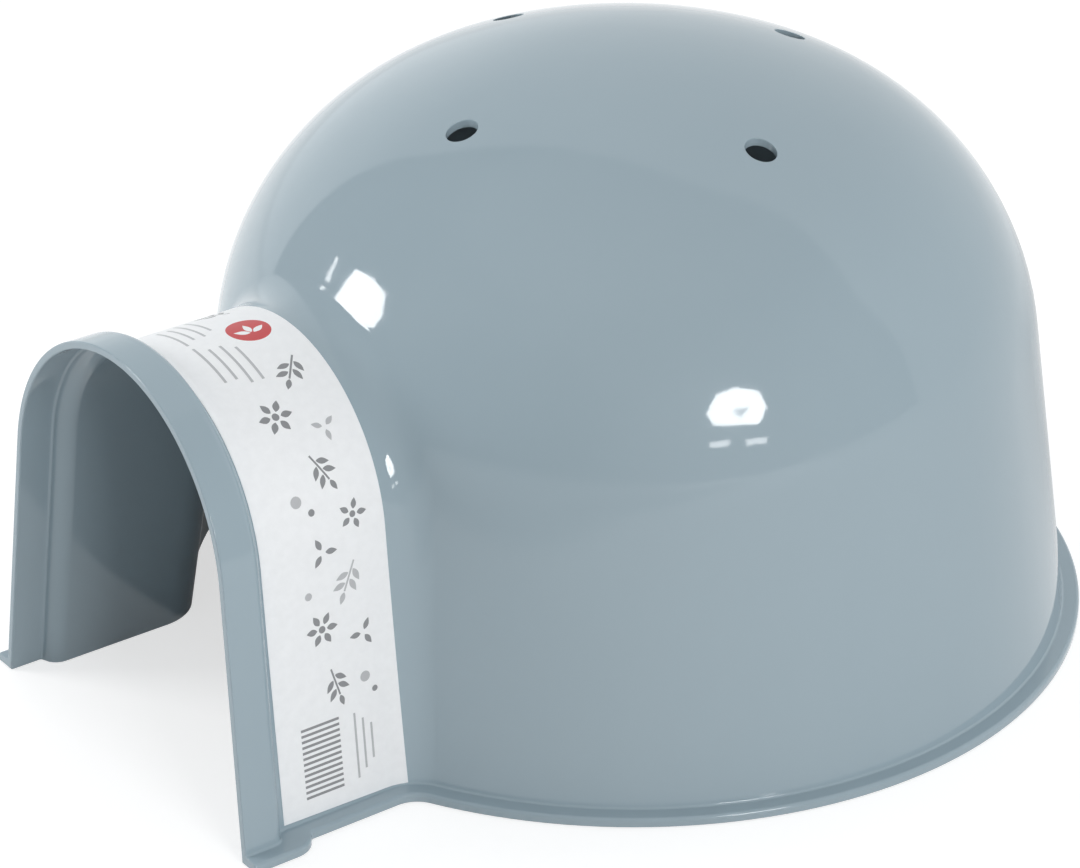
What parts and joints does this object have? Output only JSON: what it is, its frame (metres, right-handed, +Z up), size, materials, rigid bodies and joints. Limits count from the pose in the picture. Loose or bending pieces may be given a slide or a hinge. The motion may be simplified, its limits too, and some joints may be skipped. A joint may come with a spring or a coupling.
{
  "type": "rodent igloo",
  "caption": "Domed plastic hide for small rodents, with an arched tunnel that ends in a stepped collar, vents in the cap, a rim flange round the foot and an open underside.",
  "frame": {"origin": "on the floor, at the middle of the footprint's bounding box", "axes": "+Z up; -Y out of the tunnel's mouth; +X to the right as seen when facing the mouth"},
  "size_m": [0.2444, 0.2797, 0.1544],
  "materials": {
    "shell_plastic": "glossy tinted grey-blue",
    "label_paper": "coated paper"
  },
  "bodies": {
    "root": {"igloo_shell": "shell_plastic", "tunnel_label": "label_paper"}
  },
  "joints": []
}
